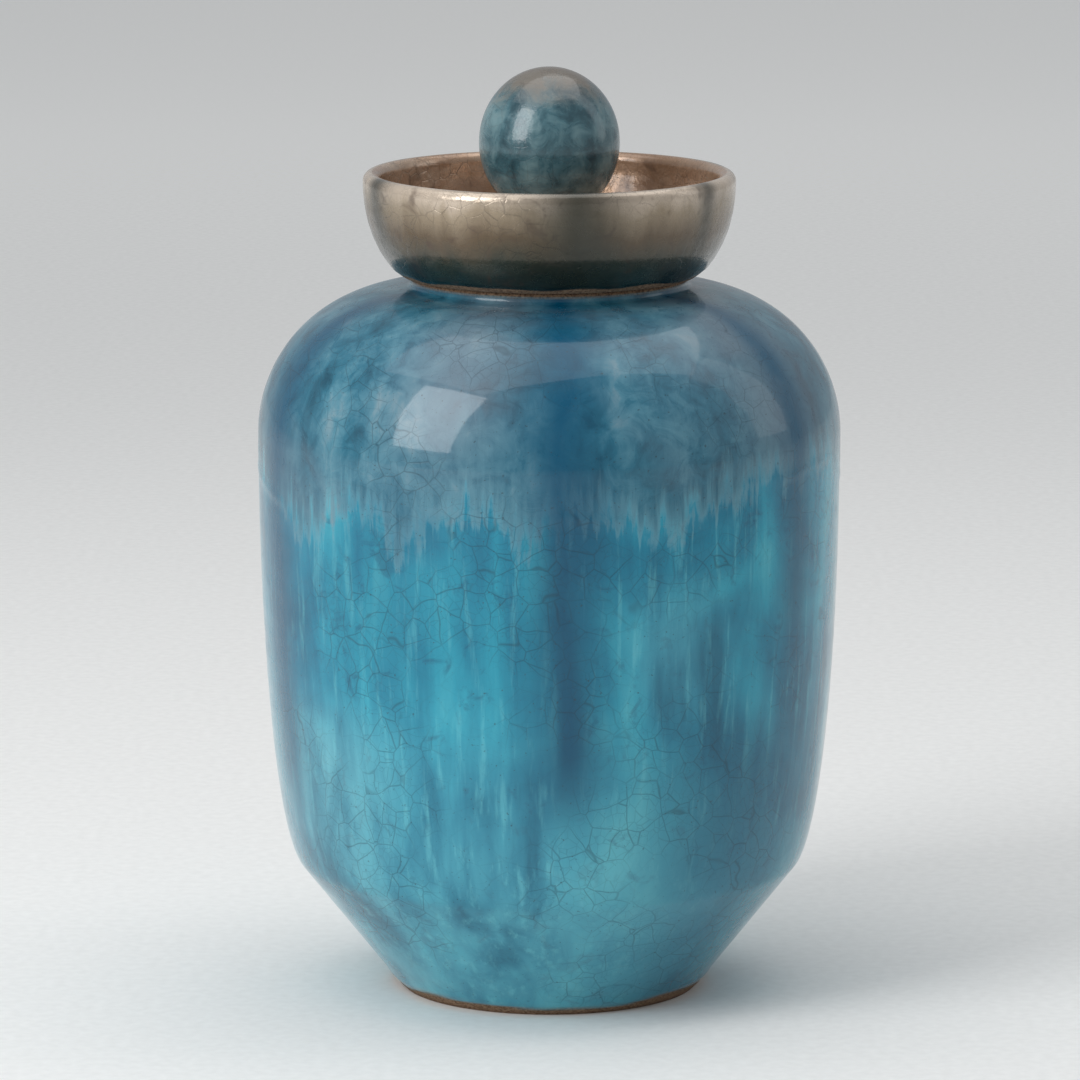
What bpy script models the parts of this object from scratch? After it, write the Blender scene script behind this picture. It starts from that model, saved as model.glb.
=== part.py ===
"""A glazed stoneware urn, thrown hollow, with a lift-off lid: an upturned bowl-shaped collar round a ball knob.

Metres, +Z up. The origin is the middle of the underside, on the surface that the urn stands on.
"""
import math

import bmesh
import bpy

# Facets round the axis, and steps along each curve of the outline
SEGMENTS = 48
SIDE_STEPS = 9
SHOULDER_STEPS = 9
BOWL_STEPS = 7
KNOB_STEPS = 10
CORNER_STEPS = 2

# Space between pieces that touch, and the distance under which points on the axis become one
GAP = 0.0003
MERGE = 0.00001

# Foot of the vessel
FOOT_RADIUS = 0.0450
FOOT_BEVEL = 0.0015
FOOT_RING_WIDTH = 0.0080
FOOT_RECESS = 0.0025

# Clay of the vessel
WALL = 0.0060
FLOOR = 0.0080
FLOOR_CORNER = 0.0070

# Outside of the vessel, from the foot up
KNEE_RADIUS = 0.0735
KNEE_HEIGHT = 0.0375
SIDE_HEIGHT = 0.1225
SIDE_TURN = math.radians(82)
BELLY_RADIUS = 0.0850
BELLY_BAND = 0.0050
SHOULDER_HEIGHT = 0.0418
SHOULDER_TURN = math.radians(80)
DECK_WIDTH = 0.0095
DECK_RISE = 0.0010
NECK_RADIUS = 0.0405
NECK_FILLET = 0.0015
NECK_HEIGHT = 0.0010
LIP_EDGE = 0.0008

# Lid: locating flange, bowl-shaped collar, stem and ball
FLANGE_CLEARANCE = 0.0012
FLANGE_DEPTH = 0.0080
FLANGE_WALL = 0.0045
FLANGE_EDGE = 0.0008
LID_OVERHANG = 0.0025
LID_FLOOR = 0.0065
BOWL_HEIGHT = 0.0274
BOWL_FLARE = 0.0113
BOWL_TURN = math.radians(70)
BOWL_WALL = 0.0050
BOWL_CORNER = 0.0100
STEM_RADIUS = 0.0085
STEM_FOOT = 0.0030
STEM_HEIGHT = 0.0099
KNOB_RADIUS = 0.0205
KNOB_HALF_HEIGHT = 0.0220

# Glazes: colour, roughness, metallic
BODY_GLAZE = ("body_glaze", (0.045, 0.215, 0.285, 1.0), 0.18, 0.0)
LID_GLAZE = ("lid_glaze", (0.200, 0.115, 0.070, 1.0), 0.26, 0.25)


def arc(start, end, turn, steps):
    """Points from start to end on an ellipse that leaves start upright or downright and turns by the angle."""
    points = []
    for step in range(steps + 1):
        angle = turn * step / steps
        along = math.sin(angle) / math.sin(turn)
        across = (1 - math.cos(angle)) / (1 - math.cos(turn))
        points.append((start[0] + (end[0] - start[0]) * across, start[1] + (end[1] - start[1]) * along))
    return points


def corner(start, end, upright_first):
    """A quarter ellipse from start to end, without its first point."""
    quarter = math.pi / 2
    if upright_first:
        return arc(start, end, quarter, CORNER_STEPS)[1:]
    return arc(end, start, quarter, CORNER_STEPS)[::-1][1:]


def inset(outline, depth):
    """The outline moved inwards, square to itself, by the depth; it runs upwards with the clay on its left."""
    moved = []
    last = len(outline) - 1
    for index, (radius, height) in enumerate(outline):
        before = outline[max(index - 1, 0)]
        after = outline[min(index + 1, last)]
        run = after[0] - before[0]
        rise = after[1] - before[1]
        length = math.hypot(run, rise)
        moved.append((radius - depth * rise / length, height + depth * run / length))
    return moved


def at_height(low, high, height):
    """Radius of the straight line through low and high at the height."""
    share = (height - low[1]) / (high[1] - low[1])
    return low[0] + (high[0] - low[0]) * share


def vessel_outside():
    """Outline of the vessel from its foot up to the top of its neck."""
    foot = (FOOT_RADIUS, FOOT_BEVEL)
    knee = (KNEE_RADIUS, KNEE_HEIGHT)
    belly_low = (BELLY_RADIUS, KNEE_HEIGHT + SIDE_HEIGHT)
    belly_high = (BELLY_RADIUS, belly_low[1] + BELLY_BAND)
    deck_edge = (NECK_RADIUS + DECK_WIDTH, belly_high[1] + SHOULDER_HEIGHT)
    fillet_start = (NECK_RADIUS + NECK_FILLET, deck_edge[1] + DECK_RISE)
    fillet_end = (NECK_RADIUS, fillet_start[1] + NECK_FILLET)
    side = arc(belly_low, knee, SIDE_TURN, SIDE_STEPS)[::-1]
    shoulder = arc(belly_high, deck_edge, SHOULDER_TURN, SHOULDER_STEPS)
    neck = [fillet_start] + corner(fillet_start, fillet_end, False)
    neck_top = (NECK_RADIUS, fillet_end[1] + NECK_HEIGHT)
    return [foot] + side + shoulder + neck + [neck_top]


def mouth_height():
    """Height of the flat lip that the lid rests on."""
    return vessel_outside()[-1][1] + LIP_EDGE


def mouth_radius():
    """Radius of the round mouth inside the neck."""
    return NECK_RADIUS - WALL


def vessel_profile():
    """Whole outline of the hollow vessel, from the middle of the underside to the middle of the floor inside."""
    outside = vessel_outside()
    floor_top = FOOT_RECESS + FLOOR
    ring_inner = FOOT_RADIUS - FOOT_BEVEL - FOOT_RING_WIDTH
    underside = [(0.0, FOOT_RECESS), (ring_inner - FOOT_RECESS, FOOT_RECESS), (ring_inner, 0.0)]
    underside.append((FOOT_RADIUS - FOOT_BEVEL, 0.0))

    mouth = mouth_radius()
    lip_height = mouth_height()
    lip = corner(outside[-1], (NECK_RADIUS - LIP_EDGE, lip_height), True)
    lip.append((mouth + LIP_EDGE, lip_height))
    lip += corner(lip[-1], (mouth, lip_height - LIP_EDGE), False)

    inside = inset(outside, WALL)
    low, high = inside[0], inside[1]
    corner_top = floor_top + FLOOR_CORNER
    wall_foot = (at_height(low, high, corner_top), corner_top)
    floor_edge = (wall_foot[0] - FLOOR_CORNER, floor_top)
    downwards = inside[1:-1][::-1] + [wall_foot]
    floor = corner(wall_foot, floor_edge, True) + [(0.0, floor_top)]
    return underside + outside + lip + downwards + floor


def flange_outline(seat_height):
    """The ring under the lid that drops into the mouth, from the middle of the lid's underside outwards."""
    outer = mouth_radius() - FLANGE_CLEARANCE
    inner = outer - FLANGE_WALL
    bottom = seat_height - FLANGE_DEPTH
    edge = FLANGE_EDGE
    points = [(0.0, seat_height), (inner, seat_height), (inner, bottom + edge), (inner + edge, bottom)]
    points += [(outer - edge, bottom), (outer, bottom + edge), (outer, seat_height)]
    return points


def bowl_outline(seat_height):
    """The upturned collar: outside from its foot to the lip, over the lip and down inside to the lid's floor."""
    foot = (NECK_RADIUS + LID_OVERHANG, seat_height)
    brim = (foot[0] + BOWL_FLARE, seat_height + BOWL_HEIGHT)
    outside = arc(brim, foot, BOWL_TURN, BOWL_STEPS)[::-1]
    half_wall = BOWL_WALL / 2
    crest = (brim[0] - half_wall, brim[1] + half_wall)
    inner_brim = (brim[0] - BOWL_WALL, brim[1])
    lip = corner(brim, crest, True) + corner(crest, inner_brim, False)

    floor_top = seat_height + LID_FLOOR
    inside = [point for point in inset(outside, BOWL_WALL)[:-1] if point[1] > floor_top + BOWL_CORNER]
    lowest = inside[0]
    floor_edge = (lowest[0] - BOWL_CORNER, floor_top)
    return outside + lip + inside[::-1] + corner(lowest, floor_edge, True)


def knob_outline(floor_top):
    """Stem with a small spread foot, and the ball on it, up to the middle of its crown."""
    centre = floor_top + STEM_HEIGHT + KNOB_HALF_HEIGHT
    spread = (STEM_RADIUS + STEM_FOOT, floor_top)
    stem_low = (STEM_RADIUS, floor_top + STEM_FOOT)
    points = [spread] + corner(spread, stem_low, False)
    start = math.asin(STEM_RADIUS / KNOB_RADIUS)
    for step in range(KNOB_STEPS + 1):
        angle = start + (math.pi - start) * step / KNOB_STEPS
        radius = KNOB_RADIUS * math.sin(angle) if step < KNOB_STEPS else 0.0
        points.append((radius, centre - KNOB_HALF_HEIGHT * math.cos(angle)))
    return points


def lid_profile():
    """Whole outline of the lid, from the middle of its underside to the crown of its knob."""
    seat_height = mouth_height() + GAP
    floor_top = seat_height + LID_FLOOR
    return flange_outline(seat_height) + bowl_outline(seat_height) + knob_outline(floor_top)


def glaze(name, colour, roughness, metallic):
    """A material with a glaze's colour and gloss."""
    material = bpy.data.materials.new(name)
    material.use_nodes = True
    shader = material.node_tree.nodes["Principled BSDF"]
    shader.inputs["Base Color"].default_value = colour
    shader.inputs["Roughness"].default_value = roughness
    shader.inputs["Metallic"].default_value = metallic
    return material


def turned(name, profile, material):
    """One closed piece, turned from a profile of radius and height round the vertical axis."""
    shape = bmesh.new()
    points = [shape.verts.new((radius, 0.0, height)) for radius, height in profile]
    lines = [shape.edges.new(pair) for pair in zip(points, points[1:])]
    bmesh.ops.spin(shape, geom=points + lines, cent=(0, 0, 0), axis=(0, 0, 1), angle=math.tau,
                   steps=SEGMENTS, use_merge=True)
    bmesh.ops.remove_doubles(shape, verts=shape.verts, dist=MERGE)
    bmesh.ops.recalc_face_normals(shape, faces=shape.faces)
    mesh = bpy.data.meshes.new(name)
    shape.to_mesh(mesh)
    shape.free()
    mesh.materials.append(material)
    mesh.shade_smooth()
    mesh.set_sharp_from_angle(angle=math.radians(40))
    piece = bpy.data.objects.new(name, mesh)
    bpy.context.scene.collection.objects.link(piece)
    return piece


def clear_scene():
    """Removes what a new file holds."""
    for thing in list(bpy.data.objects):
        bpy.data.objects.remove(thing)


def build():
    """The vessel and its lid."""
    clear_scene()
    turned("urn_body", vessel_profile(), glaze(*BODY_GLAZE))
    turned("lid", lid_profile(), glaze(*LID_GLAZE))


build()
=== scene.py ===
"""Looks of the lidded urn: finely turned, glazed surfaces, a plain studio and the photograph's view."""
import math
import random

import bmesh
import bpy
import numpy as np
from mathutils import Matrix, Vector, noise


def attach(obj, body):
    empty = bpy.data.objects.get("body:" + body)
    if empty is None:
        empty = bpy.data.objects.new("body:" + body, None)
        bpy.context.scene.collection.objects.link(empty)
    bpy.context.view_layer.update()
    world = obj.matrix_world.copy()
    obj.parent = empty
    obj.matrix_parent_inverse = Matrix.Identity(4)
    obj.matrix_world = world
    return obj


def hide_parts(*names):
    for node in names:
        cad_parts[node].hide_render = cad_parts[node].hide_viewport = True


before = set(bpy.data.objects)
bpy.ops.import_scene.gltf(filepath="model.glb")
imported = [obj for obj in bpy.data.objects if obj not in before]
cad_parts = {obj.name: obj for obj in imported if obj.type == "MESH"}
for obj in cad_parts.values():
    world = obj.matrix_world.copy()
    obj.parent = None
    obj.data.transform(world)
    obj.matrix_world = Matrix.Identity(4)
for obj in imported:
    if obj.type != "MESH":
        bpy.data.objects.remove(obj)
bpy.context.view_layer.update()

MM = 0.001

# Shorter than this counts as nothing
TINY = 1e-9

# Points round the axis, and spacing of the rings of points along each outline
AROUND = 256
BODY_SPACING = 1.1 * MM
LID_SPACING = 0.55 * MM
INSIDE_SPACING = 5.0 * MM
CURVE_STEPS = 40
EDGE_STEPS = 5
SEED = 7

# Vessel, the same sizes as its solid
FOOT_RADIUS = 45.0 * MM
FOOT_BEVEL = 1.5 * MM
FOOT_RING_WIDTH = 8.0 * MM
FOOT_RECESS = 2.5 * MM
WALL = 6.0 * MM
FLOOR = 8.0 * MM
FLOOR_CORNER = 7.0 * MM
KNEE_RADIUS = 73.5 * MM
KNEE_HEIGHT = 37.5 * MM
SIDE_HEIGHT = 122.5 * MM
SIDE_TURN = math.radians(82)
BELLY_RADIUS = 85.0 * MM
BELLY_BAND = 5.0 * MM
SHOULDER_HEIGHT = 41.8 * MM
SHOULDER_TURN = math.radians(80)
DECK_WIDTH = 9.5 * MM
DECK_RISE = 1.0 * MM
NECK_RADIUS = 40.5 * MM
NECK_FILLET = 1.5 * MM
NECK_HEIGHT = 1.0 * MM
LIP_EDGE = 0.8 * MM

# Lid, the same sizes as its solid
GAP = 0.3 * MM
FLANGE_CLEARANCE = 1.2 * MM
FLANGE_DEPTH = 8.0 * MM
FLANGE_WALL = 4.5 * MM
FLANGE_EDGE = 0.8 * MM
LID_OVERHANG = 2.5 * MM
LID_FLOOR = 6.5 * MM
BOWL_HEIGHT = 27.4 * MM
BOWL_FLARE = 11.3 * MM
BOWL_TURN = math.radians(70)
BOWL_WALL = 5.0 * MM
BOWL_CORNER = 10.0 * MM
STEM_RADIUS = 8.5 * MM
STEM_FOOT = 3.0 * MM
STEM_HEIGHT = 9.9 * MM
KNOB_RADIUS = 20.5 * MM
KNOB_HALF_HEIGHT = 22.0 * MM
LID_HEIGHT = LID_FLOOR + STEM_HEIGHT + 2 * KNOB_HALF_HEIGHT

# Relief of the thrown clay, and the heights between which the throwing rings come up and die down
THROWING_PITCH = 7.5 * MM
THROWING_DEPTH = 0.03 * MM
THROWING_START = (8.0 * MM, 30.0 * MM)
THROWING_END = (185.0 * MM, 203.0 * MM)
RING_NOISE = 25
WOBBLE = 0.15 * MM
WOBBLE_NOISE = 16

# The same for the lid, above its foot and up to its brim
LID_THROWING_PITCH = 0.6 * THROWING_PITCH
LID_THROWING_DEPTH = 0.5 * THROWING_DEPTH
LID_THROWING_START = (2.0 * MM, 8.0 * MM)
BRIM_FADE = 4.0 * MM
LID_WOBBLE = 0.8 * WOBBLE
LID_WOBBLE_NOISE = 30

# Line above the foot where the glaze ends: height, wave and softness, and the relief and place of its roll
GLAZE_LINE = 3.0 * MM
GLAZE_LINE_WAVE = 0.8 * MM
GLAZE_LINE_EDGE = 0.4 * MM
GLAZE_ROLL = 0.25 * MM
GLAZE_ROLL_PLACE = (1.3 * MM, 1.1 * MM)

# Bare clay at the top of the neck
BARE_NECK = 0.5 * MM

# The same line above the foot of the lid
LID_LINE = 1.2 * MM
LID_LINE_WAVE = 0.5 * MM
LID_LINE_EDGE = 0.3 * MM
LID_ROLL = 0.15 * MM
LID_ROLL_PLACE = (1.0 * MM, 0.8 * MM)

# Glaze poured over the shoulder: its lower edge and waves, thickness, roll, and the runs down from it
POUR_HEIGHT = 153.0 * MM
POUR_WAVE = 6.0 * MM
POUR_RIPPLE = 1.5 * MM
POUR_THICKNESS = 0.12 * MM
POUR_STEP = 2.5 * MM
POUR_END = (190.0 * MM, 205.0 * MM)
POUR_ROLL = 0.12 * MM
POUR_ROLL_PLACE = (1.8 * MM, 1.4 * MM)
POUR_RUNS = 11
POUR_RUN_WIDTHS = (0.05, 0.16)
POUR_RUN_LENGTHS = (2.0 * MM, 15.0 * MM)

# Patches of dark, grey and pale colour, most of them painted shade, painted highlights and painted
# reflections: angle, half width as an angle, lowest and highest point, strength
# Dark down the front: partly a run of thick glaze, partly a painted dark reflection of the gap between the
# side lights
FRONT_RUN_AND_PAINTED_REFLECTION = (math.radians(3.5), math.radians(7.8), 66.0 * MM, 300.0 * MM, 1.0)
# Painted shade on the lower right, the side turned away from the light on the left
PAINTED_LOW_RIGHT_SHADE = (math.radians(45), math.radians(24), -30.0 * MM, 102.0 * MM, 0.70)
# Painted shade on the left wall
PAINTED_LEFT_SHADE = (math.radians(-34), math.radians(20), 105.0 * MM, 175.0 * MM, 0.35)
# Dark down the front of the lid's collar: partly a glaze run, partly a painted dark reflection
LID_RUN_AND_PAINTED_REFLECTION = (math.radians(9), math.radians(15), 200.0 * MM, 300.0 * MM, 1.0)
OTHER_RUNS = 5
OTHER_RUN_WIDTHS = (0.08, 0.17)
OTHER_RUN_ENDS = (45.0 * MM, 105.0 * MM)
# Painted highlight of the left light on the left shoulder
PAINTED_LEFT_HIGHLIGHT = (math.radians(-21), math.radians(15), 168.0 * MM, 232.0 * MM, 0.9)
# Painted reflection of a light on the right shoulder
PAINTED_RIGHT_REFLECTION = (math.radians(55), math.radians(17), 160.0 * MM, 224.0 * MM, 1.0)
# Painted light from the bright floor and the left light on the lower left
PAINTED_LOW_LEFT_LIGHT = (math.radians(-56), math.radians(26), -30.0 * MM, 105.0 * MM, 1.0)
# Painted reflection of a light, a pale band right of the front
PAINTED_RIGHT_BAND = (math.radians(26), math.radians(11), 92.0 * MM, 146.0 * MM, 0.45)

# How a patch fades at its upper end, above and below its lower end, and how far it sways, as an angle
PATCH_TOP_FADE = 30.0 * MM
PATCH_END_ABOVE = 22.0 * MM
PATCH_END_BELOW = 18.0 * MM
PATCH_SWAY = 0.03
SWAY_NOISE = 30

# Round paper floor in metres, and where its glow comes up and dies down to a share that is left
PAPER_RADIUS = 4.5
PAPER_RINGS = 12
PAPER_SIDES = 64
PAPER_GLOW = 0.18
GLOW_START = (0.9, 2.2)
GLOW_END = (3.0, 4.4)
GLOW_LEFT = 0.3

# Camera and its frame, from the photograph
FRAME_PIXELS = 1080
PIXELS_PER_METRE = 3407
CAMERA_DISTANCE = 2.0
CAMERA_HEIGHT = 0.49
AIM_HEIGHT = 0.1324
AXIS_COLUMN = 549.3


def arc(start, end, turn, steps=CURVE_STEPS):
    """Points from start to end on an ellipse that sets off straight up or down and turns by the angle."""
    points = []
    for step in range(steps + 1):
        angle = turn * step / steps
        along = math.sin(angle) / math.sin(turn)
        across = (1 - math.cos(angle)) / (1 - math.cos(turn))
        points.append((start[0] + (end[0] - start[0]) * across, start[1] + (end[1] - start[1]) * along))
    return points


def corner(start, end, upright_first, steps=EDGE_STEPS):
    """A quarter ellipse from start to end, without its first point."""
    if upright_first:
        return arc(start, end, math.pi / 2, steps)[1:]
    return arc(end, start, math.pi / 2, steps)[::-1][1:]


def inset(outline, depth):
    """The outline moved inwards, square to itself, by the depth."""
    moved = []
    last = len(outline) - 1
    for index, (radius, height) in enumerate(outline):
        before = outline[max(index - 1, 0)]
        after = outline[min(index + 1, last)]
        run = after[0] - before[0]
        rise = after[1] - before[1]
        length = math.hypot(run, rise)
        moved.append((radius - depth * rise / length, height + depth * run / length))
    return moved


def spaced(outline, spacing):
    """The outline with points added, so that none is further than the spacing from the next."""
    points = [outline[0]]
    for end in outline[1:]:
        start = points[-1]
        pieces = max(1, math.ceil(math.dist(start, end) / spacing))
        for piece in range(1, pieces + 1):
            share = piece / pieces
            points.append((start[0] + (end[0] - start[0]) * share, start[1] + (end[1] - start[1]) * share))
    return points


def thinned(outline, spacing):
    """The outline without the points that are closer than the spacing to the one before."""
    points = [outline[0]]
    for point in outline[1:-1]:
        if math.dist(point, points[-1]) >= spacing:
            points.append(point)
    return points + [outline[-1]]


def vessel_outside():
    """Outline of the vessel from its foot up to the top of its neck."""
    foot = (FOOT_RADIUS, FOOT_BEVEL)
    knee = (KNEE_RADIUS, KNEE_HEIGHT)
    belly_low = (BELLY_RADIUS, KNEE_HEIGHT + SIDE_HEIGHT)
    belly_high = (BELLY_RADIUS, belly_low[1] + BELLY_BAND)
    deck_edge = (NECK_RADIUS + DECK_WIDTH, belly_high[1] + SHOULDER_HEIGHT)
    fillet_start = (NECK_RADIUS + NECK_FILLET, deck_edge[1] + DECK_RISE)
    fillet_end = (NECK_RADIUS, fillet_start[1] + NECK_FILLET)
    side = arc(belly_low, knee, SIDE_TURN)[::-1]
    shoulder = arc(belly_high, deck_edge, SHOULDER_TURN)
    neck = [fillet_start] + corner(fillet_start, fillet_end, False)
    neck_top = (NECK_RADIUS, fillet_end[1] + NECK_HEIGHT)
    return [foot] + side + shoulder + neck + [neck_top]


MOUTH_HEIGHT = vessel_outside()[-1][1] + LIP_EDGE
MOUTH_RADIUS = NECK_RADIUS - WALL
SEAT_HEIGHT = MOUTH_HEIGHT + GAP


def vessel_profile():
    """Whole outline of the hollow vessel, from the middle of its underside to the middle of its floor."""
    outside = vessel_outside()
    floor_top = FOOT_RECESS + FLOOR
    ring_outer = FOOT_RADIUS - FOOT_BEVEL
    ring_inner = ring_outer - FOOT_RING_WIDTH
    underside = [(0.0, FOOT_RECESS), (ring_inner - FOOT_RECESS, FOOT_RECESS)]
    underside += [(ring_inner, 0.0), (ring_outer, 0.0)]

    lip = corner(outside[-1], (NECK_RADIUS - LIP_EDGE, MOUTH_HEIGHT), True)
    lip.append((MOUTH_RADIUS + LIP_EDGE, MOUTH_HEIGHT))
    lip += corner(lip[-1], (MOUTH_RADIUS, MOUTH_HEIGHT - LIP_EDGE), False)

    inside = thinned(inset(outside, WALL), INSIDE_SPACING)
    low, high = inside[0], inside[1]
    corner_top = floor_top + FLOOR_CORNER
    share = (corner_top - low[1]) / (high[1] - low[1])
    wall_foot = (low[0] + (high[0] - low[0]) * share, corner_top)
    floor_edge = (wall_foot[0] - FLOOR_CORNER, floor_top)
    downwards = inside[1:-1][::-1] + [wall_foot]
    floor = corner(wall_foot, floor_edge, True) + [(0.0, floor_top)]
    shown = spaced(underside, INSIDE_SPACING) + spaced(outside, BODY_SPACING) + lip
    return shown + spaced(downwards + floor, INSIDE_SPACING)


def lid_profile():
    """The lid's outline from the middle of its underside to its crown, and where in it the stem begins."""
    outer = MOUTH_RADIUS - FLANGE_CLEARANCE
    inner = outer - FLANGE_WALL
    bottom = SEAT_HEIGHT - FLANGE_DEPTH
    flange = [(0.0, SEAT_HEIGHT), (inner, SEAT_HEIGHT)]
    flange += [(inner, bottom + FLANGE_EDGE), (inner + FLANGE_EDGE, bottom)]
    flange += [(outer - FLANGE_EDGE, bottom), (outer, bottom + FLANGE_EDGE), (outer, SEAT_HEIGHT)]

    foot = (NECK_RADIUS + LID_OVERHANG, SEAT_HEIGHT)
    brim = (foot[0] + BOWL_FLARE, SEAT_HEIGHT + BOWL_HEIGHT)
    outside = arc(brim, foot, BOWL_TURN)[::-1]
    half_wall = BOWL_WALL / 2
    crest = (brim[0] - half_wall, brim[1] + half_wall)
    inner_brim = (brim[0] - BOWL_WALL, brim[1])
    lip = corner(brim, crest, True) + corner(crest, inner_brim, False)

    floor_top = SEAT_HEIGHT + LID_FLOOR
    inside = [point for point in inset(outside, BOWL_WALL)[:-1] if point[1] > floor_top + BOWL_CORNER]
    lowest = inside[0]
    dish = inside[::-1] + corner(lowest, (lowest[0] - BOWL_CORNER, floor_top), True, CURVE_STEPS // 2)

    spread = (STEM_RADIUS + STEM_FOOT, floor_top)
    stem = [spread] + corner(spread, (STEM_RADIUS, floor_top + STEM_FOOT), False)
    centre = floor_top + STEM_HEIGHT + KNOB_HALF_HEIGHT
    start = math.asin(STEM_RADIUS / KNOB_RADIUS)
    ball = []
    for step in range(CURVE_STEPS + 1):
        angle = start + (math.pi - start) * step / CURVE_STEPS
        radius = KNOB_RADIUS * math.sin(angle) if step < CURVE_STEPS else 0.0
        ball.append((radius, centre - KNOB_HALF_HEIGHT * math.cos(angle)))

    under = spaced(flange, INSIDE_SPACING)
    bowl = spaced(outside + lip + dish + stem[:1], LID_SPACING)
    return under + bowl + spaced(stem[1:] + ball, LID_SPACING), len(under) + len(bowl)


def smooth_step(value, low, high):
    """0 below low, 1 above high and a soft rise between."""
    share = min(max((value - low) / (high - low), 0.0), 1.0)
    return share * share * (3 - 2 * share)


def hump(value, middle, width):
    """A rounded rise of height 1 round the middle."""
    return math.exp(-((value - middle) / width) ** 2)


def round_noise(angle, frequency, seed):
    """Noise that closes on itself round the axis, between about -1 and 1."""
    place = Vector((math.cos(angle) * frequency, math.sin(angle) * frequency, seed))
    return noise.noise(place) * 2


def lathe_mesh(name, outline, surface):
    """A mesh turned from the outline.

    surface(index, angle, radius, height) gives how far a point stands out, and named values for its glaze.
    """
    along = np.gradient(np.array(outline), axis=0)
    along /= np.maximum(np.linalg.norm(along, axis=1, keepdims=True), TINY)
    vertices = []
    fields = []
    starts = []
    for index, (radius, height) in enumerate(outline):
        starts.append(len(vertices))
        count = 1 if radius == 0.0 else AROUND
        for column in range(count):
            angle = column * math.tau / AROUND
            out = Vector((math.sin(angle), -math.cos(angle), 0.0))
            normal = out * along[index][1] - Vector((0.0, 0.0, 1.0)) * along[index][0]
            relief, values = surface(index, angle, radius, height)
            vertices.append(out * radius + Vector((0.0, 0.0, height)) + normal * relief)
            fields.append(values)
    mesh = bpy.data.meshes.new(name)
    mesh.from_pydata(vertices, [], lathe_faces(outline, starts))
    for field in fields[0]:
        attribute = mesh.attributes.new(field, "FLOAT", "POINT")
        attribute.data.foreach_set("value", [values[field] for values in fields])
    mesh.shade_smooth()
    return mesh


def lathe_faces(outline, starts):
    """Faces between neighbouring rings of points, closed at the axis."""
    faces = []
    for index in range(len(outline) - 1):
        low, high = starts[index], starts[index + 1]
        for column in range(AROUND):
            after = (column + 1) % AROUND
            if outline[index][0] == 0.0:
                faces.append((low, high + after, high + column))
            elif outline[index + 1][0] == 0.0:
                faces.append((low + column, low + after, high))
            else:
                faces.append((low + column, low + after, high + after, high + column))
    return faces


def pour_runs():
    """Where the second glaze has run down from the shoulder: angle, half width as an angle, and length."""
    draw = random.Random(SEED)
    runs = []
    for turn in range(POUR_RUNS):
        angle = (turn + draw.uniform(-0.40, 0.40)) * math.tau / POUR_RUNS
        runs.append((angle, draw.uniform(*POUR_RUN_WIDTHS), draw.uniform(*POUR_RUN_LENGTHS)))
    return runs


def pour_edge(angle, runs):
    """Height at which the second glaze ends."""
    height = POUR_HEIGHT + POUR_WAVE * round_noise(angle, frequency=1.1, seed=3.7)
    height += POUR_RIPPLE * round_noise(angle, frequency=5.0, seed=8.2)
    for centre, half_width, length in runs:
        turn = math.remainder(angle - centre, math.tau)
        height -= length * math.exp(-(turn / half_width) ** 2)
    return height


def runs_and_painted_shade(seen):
    """The dark patches seen on the front, partly runs of thick glaze and partly painted shade and painted
    dark reflection, and runs of thick glaze like them all round.
    """
    draw = random.Random(SEED + 1)
    runs = list(seen)
    for turn in range(1, OTHER_RUNS + 1):
        angle = FRONT_RUN_AND_PAINTED_REFLECTION[0] + (turn + draw.uniform(-0.2, 0.2)) * math.tau / (OTHER_RUNS + 1)
        lowest = draw.uniform(*OTHER_RUN_ENDS)
        half_width = draw.uniform(*OTHER_RUN_WIDTHS)
        runs.append((angle, half_width, lowest, FRONT_RUN_AND_PAINTED_REFLECTION[3], draw.uniform(0.5, 1.0)))
    return runs


def front_and_back(seen):
    """The patches that the photograph shows, and the same ones again on the far side."""
    draw = random.Random(SEED + 2)
    return seen + [(patch[0] + math.pi + draw.uniform(-0.5, 0.5),) + patch[1:] for patch in seen]


def coverage(patches, angle, height):
    """How strongly the patches cover the place, between 0 and 1."""
    total = 0.0
    for centre, half_width, lowest, highest, strength in patches:
        sway = PATCH_SWAY * noise.noise(Vector((height * SWAY_NOISE, centre, 0.0)))
        turn = math.remainder(angle - centre, math.tau) + sway
        top = 1 - smooth_step(height, highest - PATCH_TOP_FADE, highest)
        bottom = smooth_step(height, lowest - PATCH_END_BELOW, lowest + PATCH_END_ABOVE)
        total += strength * hump(turn, 0.0, half_width) * top * bottom
    return min(total, 1.0)


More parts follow.
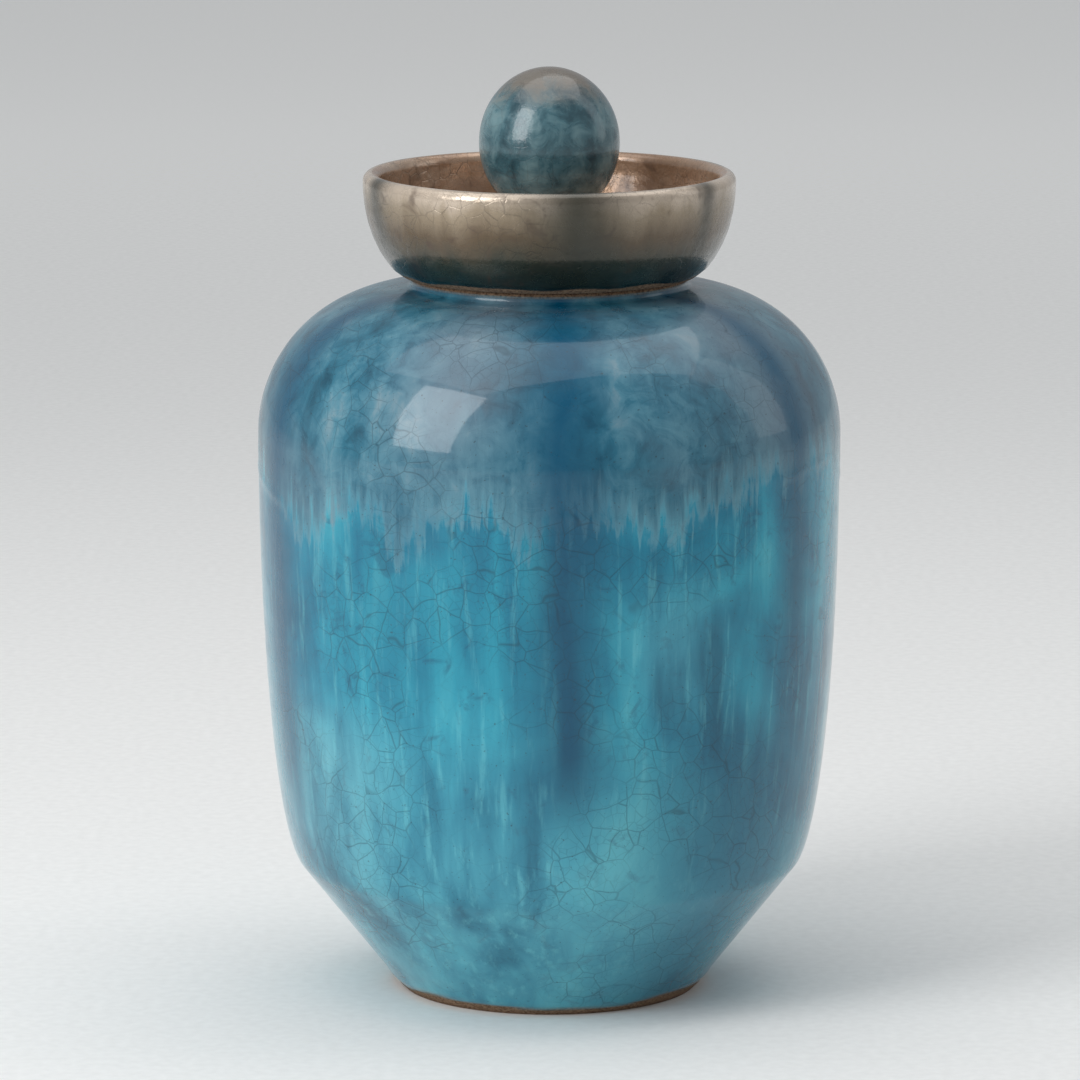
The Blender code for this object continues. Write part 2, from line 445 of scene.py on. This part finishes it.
def body_surface(outline):
    """Relief and fields of the vessel: clay, throwing rings, and the edges of both glazes."""
    poured = pour_runs()
    # Dark runs with painted shade and painted dark reflection among them, and patches of painted highlight,
    # painted reflection and painted light
    runs = runs_and_painted_shade([FRONT_RUN_AND_PAINTED_REFLECTION, PAINTED_LOW_RIGHT_SHADE, PAINTED_LEFT_SHADE])
    painted_grey_highlights = front_and_back([PAINTED_LEFT_HIGHLIGHT, PAINTED_RIGHT_REFLECTION])
    painted_pale_light = front_and_back([PAINTED_LOW_LEFT_LIGHT, PAINTED_RIGHT_BAND])
    edges = [pour_edge(column * math.tau / AROUND, poured) for column in range(AROUND)]
    outside_start = next(i for i, point in enumerate(outline) if point == (FOOT_RADIUS, FOOT_BEVEL))
    lip_top = max(range(len(outline)), key=lambda i: outline[i][1])
    lip_start = lip_top - EDGE_STEPS
    lip_end = lip_top + 2 * EDGE_STEPS
    bare_height = MOUTH_HEIGHT - LIP_EDGE - BARE_NECK
    plain = {"clay": 0.0, "pour": -0.05, "lining": 0.0, "dark": 0.0, "grey": 0.0, "pale": 0.0}

    def surface(index, angle, radius, height):
        place = Vector((radius * math.sin(angle), -radius * math.cos(angle), height))
        if index < outside_start:
            return 0.0, plain | {"clay": 1.0}
        if index > lip_end:
            return 0.0, plain | {"lining": 1.0}
        if index >= lip_start:
            return 0.0, plain | {"clay": 1.0}
        column = round(angle / math.tau * AROUND)
        above_line = height - GLAZE_LINE - GLAZE_LINE_WAVE * round_noise(angle, frequency=2.2, seed=1.3)
        above_pour = height - edges[column]
        wall = smooth_step(height, *THROWING_START) * (1 - smooth_step(height, *THROWING_END))
        spiral = math.sin(math.tau * height / THROWING_PITCH + angle)
        relief = THROWING_DEPTH * spiral * wall * (0.6 + noise.noise(place * RING_NOISE))
        relief += WOBBLE * noise.noise(place * WOBBLE_NOISE) * wall
        relief += GLAZE_ROLL * hump(above_line, *GLAZE_ROLL_PLACE)
        below_neck = 1 - smooth_step(height, *POUR_END)
        relief += POUR_THICKNESS * smooth_step(above_pour, 0, POUR_STEP) * below_neck
        relief += POUR_ROLL * hump(above_pour, *POUR_ROLL_PLACE)
        clay = 1 - smooth_step(above_line, -GLAZE_LINE_EDGE, GLAZE_LINE_EDGE)
        if height > bare_height and radius < NECK_RADIUS + 0.1 * MM:
            clay = 1.0
        # dark, grey and pale carry painted shade, painted highlights and painted reflections, besides runs
        # of thick glaze
        fields = {"clay": clay, "pour": above_pour, "dark": coverage(runs, angle, height)}
        fields["grey"] = coverage(painted_grey_highlights, angle, height)
        fields["pale"] = coverage(painted_pale_light, angle, height)
        return relief, plain | fields

    return surface


def lid_surface(outline, stem_start):
    """Relief and fields of the lid: clay under it, collar outside and inside, and knob."""
    crest = max(range(stem_start), key=lambda i: outline[i][1])
    seat = SEAT_HEIGHT - TINY
    foot_start = next(i for i, point in enumerate(outline) if point[1] >= seat and point[0] > MOUTH_RADIUS)
    brim_height = SEAT_HEIGHT + BOWL_HEIGHT
    # Dark runs on the collar, the front one partly a painted dark reflection
    runs = runs_and_painted_shade([LID_RUN_AND_PAINTED_REFLECTION])

    def surface(index, angle, radius, height):
        place = Vector((radius * math.sin(angle), -radius * math.cos(angle), height))
        if index < foot_start:
            return 0.0, {"clay": 1.0, "inner": 0.0, "knob": 0.0, "rise": 0.0, "dark": 0.0}
        inner = 1.0 if index > crest else 0.0
        knob = 1.0 if index >= stem_start else 0.0
        rise = (height - SEAT_HEIGHT) / (LID_HEIGHT if knob else BOWL_HEIGHT)
        # Darker down the front of the collar, partly a painted dark reflection
        dark = coverage(runs, angle, height) * (1 - inner)
        wall = (1 - knob) * smooth_step(height - SEAT_HEIGHT, *LID_THROWING_START)
        spiral = math.sin(math.tau * height / LID_THROWING_PITCH + angle)
        below_brim = 1 - smooth_step(height, brim_height - BRIM_FADE, brim_height)
        relief = LID_THROWING_DEPTH * spiral * wall * below_brim
        relief += LID_WOBBLE * noise.noise(place * LID_WOBBLE_NOISE) * min(1.0, wall + knob)
        line = SEAT_HEIGHT + LID_LINE + LID_LINE_WAVE * round_noise(angle, frequency=3.0, seed=5.1)
        above_line = height - line
        clay = 1.0 - smooth_step(above_line, -LID_LINE_EDGE, LID_LINE_EDGE) if index < crest else 0.0
        relief += LID_ROLL * hump(above_line, *LID_ROLL_PLACE) * (1 - inner)
        return relief, {"clay": clay, "inner": inner, "knob": knob, "rise": rise, "dark": dark}

    return surface


def linear(red, green, blue):
    """A colour given in the 0 to 255 of a screen, as the shader takes it."""
    shares = [value / 255 for value in (red, green, blue)]
    return tuple(s / 12.92 if s <= 0.04045 else ((s + 0.055) / 1.055) ** 2.4 for s in shares) + (1.0,)


class Glaze:
    """A node material, with short calls for the nodes it is made of."""

    def __init__(self, name):
        self.material = bpy.data.materials.new(name)
        self.material.use_nodes = True
        self.tree = self.material.node_tree
        self.shader = self.tree.nodes["Principled BSDF"]
        self.place = self.tree.nodes.new("ShaderNodeTexCoord").outputs["Object"]

    def node(self, kind, inputs=(), **settings):
        """A new node with its settings, and its inputs linked or set."""
        made = self.tree.nodes.new(kind)
        for key, value in settings.items():
            setattr(made, key, value)
        for key, value in dict(inputs).items():
            if isinstance(value, bpy.types.NodeSocket):
                self.tree.links.new(value, made.inputs[key])
            else:
                made.inputs[key].default_value = value
        return made

    def set(self, name, value):
        """Links or sets an input of the shader."""
        if isinstance(value, bpy.types.NodeSocket):
            self.tree.links.new(value, self.shader.inputs[name])
        else:
            self.shader.inputs[name].default_value = value

    def field(self, name):
        """The value of that name that the mesh keeps at each point."""
        return self.node("ShaderNodeAttribute", attribute_name=name).outputs["Fac"]

    def height(self):
        """How high the place is."""
        return self.node("ShaderNodeSeparateXYZ", {"Vector": self.place}).outputs["Z"]

    def stretched(self, scale):
        """The place, scaled along each axis."""
        return self.node("ShaderNodeMapping", {"Vector": self.place, "Scale": scale}).outputs["Vector"]

    def noise(self, scale, detail=3.0, roughness=0.5, distortion=0.0, place=None):
        """Noise between about 0 and 1, finer with a larger scale."""
        inputs = {"Vector": place or self.place, "Scale": scale, "Detail": detail, "Roughness": roughness}
        inputs["Distortion"] = distortion
        return self.node("ShaderNodeTexNoise", inputs).outputs["Fac"]

    def warped(self, amount, scale):
        """The place, pushed about by noise."""
        inputs = {"Vector": self.place, "Scale": scale, "Detail": 2.0}
        push = self.node("ShaderNodeTexNoise", inputs).outputs["Color"]
        centred = self.node("ShaderNodeVectorMath", {0: push, 1: (0.5, 0.5, 0.5)}, operation="SUBTRACT")
        inputs = {0: centred.outputs["Vector"], 1: (amount, amount, amount), 2: self.place}
        return self.node("ShaderNodeVectorMath", inputs, operation="MULTIPLY_ADD").outputs["Vector"]

    def crackle(self, scale, width, place):
        """1 on the thin lines between cells, 0 inside them."""
        inputs = {"Vector": place, "Scale": scale}
        cells = self.node("ShaderNodeTexVoronoi", inputs, feature="DISTANCE_TO_EDGE").outputs["Distance"]
        return self.range(cells, 0.0, width, 1.0, 0.0)

    def range(self, value, low, high, to_low=0.0, to_high=1.0, kind="SMOOTHSTEP"):
        """The value between low and high carried over to two others, softly unless the kind is LINEAR."""
        inputs = {"Value": value, "From Min": low, "From Max": high, "To Min": to_low, "To Max": to_high}
        return self.node("ShaderNodeMapRange", inputs, interpolation_type=kind).outputs["Result"]

    def math(self, operation, first, second=0.0, third=0.0):
        """The answer of a sum on two or three values."""
        return self.node("ShaderNodeMath", {0: first, 1: second, 2: third}, operation=operation).outputs[0]

    def times(self, first, second):
        """Both values multiplied."""
        return self.math("MULTIPLY", first, second)

    def ramp(self, value, *stops):
        """Colours along the value, from pairs of place and colour."""
        made = self.node("ShaderNodeValToRGB", {"Fac": value})
        elements = made.color_ramp.elements
        while len(elements) < len(stops):
            elements.new(0.5)
        for element, (place, colour) in zip(elements, stops):
            element.position = place
            element.color = colour
        return made.outputs["Color"]

    def mix(self, share, first, second):
        """The first colour, with the second over it by the share."""
        made = self.node("ShaderNodeMix", data_type="RGBA", blend_type="MIX")
        for socket, value in zip((made.inputs[0], made.inputs[6], made.inputs[7]), (share, first, second)):
            if isinstance(value, bpy.types.NodeSocket):
                self.tree.links.new(value, socket)
            else:
                socket.default_value = value
        return made.outputs[2]

    def bump(self, height, distance):
        """Fine relief from the height, of that depth."""
        inputs = {"Height": height, "Distance": distance, "Strength": 1.0}
        self.set("Normal", self.node("ShaderNodeBump", inputs).outputs["Normal"])


def clay_colour(glaze):
    """Bare fired stoneware, buff grey brown with darker grains."""
    grains = glaze.noise(1400, 2.0, 0.7)
    return glaze.ramp(grains, (0.35, linear(92, 70, 54)), (0.5, linear(132, 106, 84)),
                      (0.7, linear(158, 132, 108)))


def body_glaze():
    """Mottled turquoise glaze with a greyer blue one poured over the shoulder, with painted shade, painted
    highlights and painted reflections laid into its colour.
    """
    glaze = Glaze("urn_turquoise_glaze")
    streaks = glaze.noise(75, 5.0, 0.55, 0.4, glaze.stretched((1, 1, 0.16)))
    hairs = glaze.noise(330, 4.0, 0.6, 0.2, glaze.stretched((1, 1, 0.10)))
    clouds = glaze.noise(17, 3.0, 0.5, 0.6)
    mottle = glaze.noise(120, 4.0, 0.6, 0.8)

    tone = glaze.math("MULTIPLY_ADD", streaks, 0.45, glaze.times(clouds, 0.55))
    turquoise = glaze.ramp(tone, (0.36, linear(8, 84, 112)), (0.47, linear(16, 124, 152)),
                           (0.56, linear(36, 154, 178)), (0.68, linear(84, 186, 200)))
    turquoise = glaze.mix(glaze.range(hairs, 0.52, 0.75, 0.0, 0.45), turquoise, linear(104, 196, 208))
    turquoise = glaze.mix(glaze.range(mottle, 0.56, 0.72, 0.0, 0.5), turquoise, linear(8, 78, 108))
    # Paler towards the foot and where the pale patches lie: painted light from the bright floor, low on the
    # left and round the foot, and a painted reflection in a band right of the front
    low = glaze.range(glaze.height(), 0.025, 0.120, 0.42, 0.0)
    pale = glaze.math("MAXIMUM", low, glaze.times(glaze.field("pale"), 0.75))
    paler = glaze.times(pale, glaze.range(tone, 0.38, 0.56, 0.3, 1.0))
    turquoise = glaze.mix(paler, turquoise, linear(118, 186, 198))

    slate_tone = glaze.math("MULTIPLY_ADD", streaks, 0.6, glaze.times(mottle, 0.4))
    slate = glaze.ramp(slate_tone, (0.36, linear(22, 76, 96)), (0.48, linear(44, 108, 130)),
                       (0.58, linear(80, 134, 152)), (0.70, linear(126, 154, 164)))
    warm = glaze.range(clouds, 0.54, 0.66, 0.0, 0.25)
    # Grey patches: a painted highlight on the left shoulder and a painted reflection on the right one, with
    # copies on the far side; the warm clouds are the glaze's own
    painted_highlight_and_clouds = glaze.math("MULTIPLY_ADD", glaze.field("grey"), 0.65, warm)
    slate = glaze.mix(painted_highlight_and_clouds, slate, linear(112, 126, 138))

    feathers = glaze.times(glaze.math("SUBTRACT", hairs, 0.5), 0.040)
    broken = glaze.math("MULTIPLY_ADD", glaze.math("SUBTRACT", mottle, 0.5), 0.016, glaze.field("pour"))
    ragged = glaze.math("ADD", feathers, broken)
    over = glaze.range(ragged, -0.001, 0.009)
    colour = glaze.mix(over, turquoise, slate)
    up = glaze.range(ragged, -0.002, 0.003)
    down = glaze.range(ragged, 0.003, 0.014, 1.0, 0.0)
    rim_light = glaze.times(up, down)
    colour = glaze.mix(glaze.times(rim_light, 0.30), colour, linear(130, 178, 190))

    uneven = glaze.range(streaks, 0.35, 0.60, 0.70, 1.0)
    # Dark patches: the front one partly a glaze run and partly a painted dark reflection, the low right and
    # left ones painted shade, the rest runs of thick glaze
    colour = glaze.mix(glaze.times(glaze.field("dark"), uneven), colour, linear(0, 78, 108))

    bent = glaze.warped(0.006, 60)
    wide = glaze.crackle(130, 0.030, bent)
    narrow = glaze.crackle(310, 0.045, bent)
    lines = glaze.math("MAXIMUM", wide, glaze.times(narrow, 0.5))
    fading = glaze.range(glaze.noise(30, 2.0), 0.42, 0.62, 0.15, 1.0)
    lines = glaze.times(lines, fading)
    colour = glaze.mix(glaze.times(lines, 0.42), colour, linear(14, 44, 58))

    specks = glaze.range(glaze.noise(1100, 1.0), 0.70, 0.78)
    colour = glaze.mix(glaze.times(specks, 0.5), colour, linear(40, 44, 44))

    lining = glaze.ramp(mottle, (0.4, linear(120, 104, 84)), (0.6, linear(150, 134, 110)))
    colour = glaze.mix(glaze.field("lining"), colour, lining)
    clay = glaze.field("clay")
    glaze.set("Base Color", glaze.mix(clay, colour, clay_colour(glaze)))
    gloss = glaze.math("MULTIPLY_ADD", over, 0.10, glaze.range(mottle, 0.3, 0.7, 0.14, 0.26, "LINEAR"))
    glaze.set("Roughness", glaze.math("MAXIMUM", gloss, glaze.times(clay, 0.85)))
    glaze.set("Specular IOR Level", 0.15)
    glaze.set("Coat Weight", glaze.range(clay, 0.0, 1.0, 0.6, 0.0))
    glaze.set("Coat Roughness", 0.06)
    skin = glaze.math("MULTIPLY_ADD", glaze.noise(240, 3.0), 0.5, glaze.times(hairs, 0.25))
    glaze.bump(glaze.math("SUBTRACT", skin, glaze.times(lines, 0.15)), 0.0003)
    return glaze.material


def lid_glaze():
    """Copper brown lustre on the collar, paler where it breaks over the rim, and blue grey on the knob;
    paler inside the collar by a painted reflection of the light from above, and darker down the front of the
    collar, partly a glaze run and partly a painted dark reflection.
    """
    glaze = Glaze("lid_copper_glaze")
    streaks = glaze.noise(80, 4.0, 0.55, 0.3, glaze.stretched((1, 1, 0.3)))
    mottle = glaze.noise(150, 4.0, 0.6, 0.8)
    clouds = glaze.noise(28, 3.0, 0.5, 0.5)

    level = glaze.math("MULTIPLY_ADD", glaze.math("SUBTRACT", streaks, 0.5), 0.5, glaze.field("rise"))
    outer = glaze.ramp(level, (0.08, linear(22, 44, 42)), (0.35, linear(48, 50, 36)),
                       (0.60, linear(92, 74, 50)), (0.85, linear(152, 136, 114)),
                       (1.0, linear(198, 182, 164)))
    # Inside the collar the copper is painted paler: a painted reflection of the light from above on the
    # upward-facing inside
    inner = glaze.ramp(clouds, (0.38, linear(128, 98, 74)), (0.52, linear(170, 138, 112)),
                       (0.64, linear(196, 172, 150)))
    copper = glaze.mix(glaze.field("inner"), outer, inner)
    copper = glaze.mix(glaze.range(mottle, 0.55, 0.72, 0.0, 0.5), copper, linear(70, 46, 32))
    # Dark patch down the front of the collar: partly a glaze run and partly a painted dark reflection; the
    # others are glaze runs
    copper = glaze.mix(glaze.times(glaze.field("dark"), 0.92), copper, linear(30, 33, 18))

    blue_tone = glaze.math("MULTIPLY_ADD", streaks, 0.5, glaze.times(mottle, 0.5))
    blue = glaze.ramp(blue_tone, (0.40, linear(38, 72, 82)), (0.50, linear(64, 102, 112)),
                      (0.62, linear(106, 138, 144)))
    crown = glaze.math("MULTIPLY_ADD", glaze.math("SUBTRACT", mottle, 0.5), 0.30, glaze.field("rise"))
    blue = glaze.mix(glaze.range(crown, 0.80, 0.98, 0.0, 0.85), blue, linear(112, 98, 84))
    knob = glaze.field("knob")
    colour = glaze.mix(knob, copper, blue)
    lines = glaze.crackle(210, 0.035, glaze.warped(0.005, 70))
    lines = glaze.times(lines, glaze.range(clouds, 0.42, 0.60, 0.2, 1.0))
    colour = glaze.mix(glaze.times(lines, 0.30), colour, linear(34, 30, 28))
    clay = glaze.field("clay")
    glaze.set("Base Color", glaze.mix(clay, colour, clay_colour(glaze)))
    off_knob = glaze.range(knob, 0.0, 1.0, 1.0, 0.0)
    off_clay = glaze.range(clay, 0.0, 1.0, 1.0, 0.0)
    lustre = glaze.times(glaze.range(clouds, 0.4, 0.6, 0.15, 0.5), off_knob)
    glaze.set("Metallic", glaze.times(lustre, off_clay))
    gloss = glaze.range(mottle, 0.3, 0.7, 0.20, 0.36, "LINEAR")
    glaze.set("Roughness", glaze.math("MAXIMUM", gloss, glaze.times(clay, 0.85)))
    glaze.set("Coat Weight", glaze.range(clay, 0.0, 1.0, 0.5, 0.0))
    glaze.set("Coat Roughness", 0.08)
    glaze.bump(glaze.math("SUBTRACT", glaze.noise(260, 3.0), glaze.times(lines, 0.15)), 0.0003)
    return glaze.material


def place_piece(mesh, material, node):
    """Adds the mesh as a piece that rides on the body and stands for the node."""
    piece = bpy.data.objects.new(mesh.name, mesh)
    bpy.context.scene.collection.objects.link(piece)
    mesh.materials.append(material)
    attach(piece, "root")
    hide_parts(node)


def make_urn():
    """The vessel and its lid."""
    body = vessel_profile()
    vessel_mesh = lathe_mesh("vessel", body, body_surface(body))
    place_piece(vessel_mesh, body_glaze(), "urn_body")
    lid, stem_start = lid_profile()
    lid_mesh = lathe_mesh("lid_and_knob", lid, lid_surface(lid, stem_start))
    place_piece(lid_mesh, lid_glaze(), "lid")


def floor_mesh():
    """A wide flat disc, as rings of faces round its middle."""
    shape = bmesh.new()
    middle = shape.verts.new((0.0, 0.0, 0.0))
    last_ring = []
    for ring in range(1, PAPER_RINGS + 1):
        radius = PAPER_RADIUS * ring / PAPER_RINGS
        points = []
        for side in range(PAPER_SIDES):
            angle = side * math.tau / PAPER_SIDES
            points.append(shape.verts.new((radius * math.cos(angle), radius * math.sin(angle), 0.0)))
        for side in range(PAPER_SIDES):
            after = (side + 1) % PAPER_SIDES
            if last_ring:
                shape.faces.new((last_ring[side], points[side], points[after], last_ring[after]))
            else:
                shape.faces.new((middle, points[side], points[after]))
        last_ring = points
    mesh = bpy.data.meshes.new("floor")
    shape.to_mesh(mesh)
    shape.free()
    return mesh


def floor_paper():
    """Plain pale paper that glows weakly far from the urn, so that it is as pale there as a lit backdrop."""
    paper = Glaze("floor_paper")
    grain = paper.noise(300, 2.0)
    white = paper.ramp(grain, (0.3, linear(236, 236, 234)), (0.7, linear(242, 242, 240)))
    paper.set("Base Color", white)
    paper.set("Roughness", 0.9)
    paper.set("Specular IOR Level", 0.2)
    distance = paper.node("ShaderNodeVectorMath", {0: paper.place}, operation="LENGTH").outputs["Value"]
    glow = paper.range(distance, *GLOW_START, 0.0, PAPER_GLOW)
    paper.set("Emission Color", white)
    paper.set("Emission Strength", paper.times(glow, paper.range(distance, *GLOW_END, 1.0, GLOW_LEFT)))
    return paper.material


def make_floor():
    """A wide round paper floor without a wall, so that every side of the urn can be seen."""
    mesh = floor_mesh()
    mesh.materials.append(floor_paper())
    floor = bpy.data.objects.new("floor", mesh)
    bpy.context.scene.collection.objects.link(floor)


def add_light(name, place, target, width, height, power):
    """A soft rectangular white light that looks at the target."""
    data = bpy.data.lights.new(name, "AREA")
    data.shape = "RECTANGLE"
    data.size = width
    data.size_y = height
    data.energy = power
    light = bpy.data.objects.new(name, data)
    light.location = place
    light.rotation_euler = (Vector(target) - Vector(place)).to_track_quat("-Z", "Y").to_euler()
    light.visible_camera = False
    bpy.context.scene.collection.objects.link(light)


def make_lights():
    """Soft light from the upper left, from above and weakly from the right, in a pale bluish surround."""
    middle = (0.0, 0.0, 0.14)
    add_light("left_soft_box", (-1.12, -0.92, 0.95), middle, width=0.75, height=1.3, power=16)
    add_light("right_soft_box", (1.2, 0.15, 0.8), middle, width=0.45, height=1.2, power=1.2)
    add_light("top_soft_box", (-0.05, 0.1, 1.6), (0.0, 0.0, 0.0), width=2.2, height=1.4, power=12.5)
    world = bpy.data.worlds.new("studio")
    world.use_nodes = True
    surround = world.node_tree.nodes["Background"]
    surround.inputs["Color"].default_value = (0.93, 0.96, 1.0, 1.0)
    surround.inputs["Strength"].default_value = 0.38
    bpy.context.scene.world = world


def make_camera():
    """The photograph's view, from a little above the urn."""
    data = bpy.data.cameras.new("view")
    camera = bpy.data.objects.new("view", data)
    side = (FRAME_PIXELS / 2 - AXIS_COLUMN) / PIXELS_PER_METRE
    place = Vector((side, -CAMERA_DISTANCE, CAMERA_HEIGHT))
    target = Vector((side, 0.0, AIM_HEIGHT))
    camera.location = place
    camera.rotation_euler = (target - place).to_track_quat("-Z", "Y").to_euler()
    data.sensor_fit = "HORIZONTAL"
    data.angle = 2 * math.atan(FRAME_PIXELS / PIXELS_PER_METRE / 2 / (target - place).length)
    bpy.context.scene.collection.objects.link(camera)
    bpy.context.scene.camera = camera
    bpy.context.scene.view_settings.view_transform = "Standard"


make_camera()
make_lights()
make_floor()
make_urn()
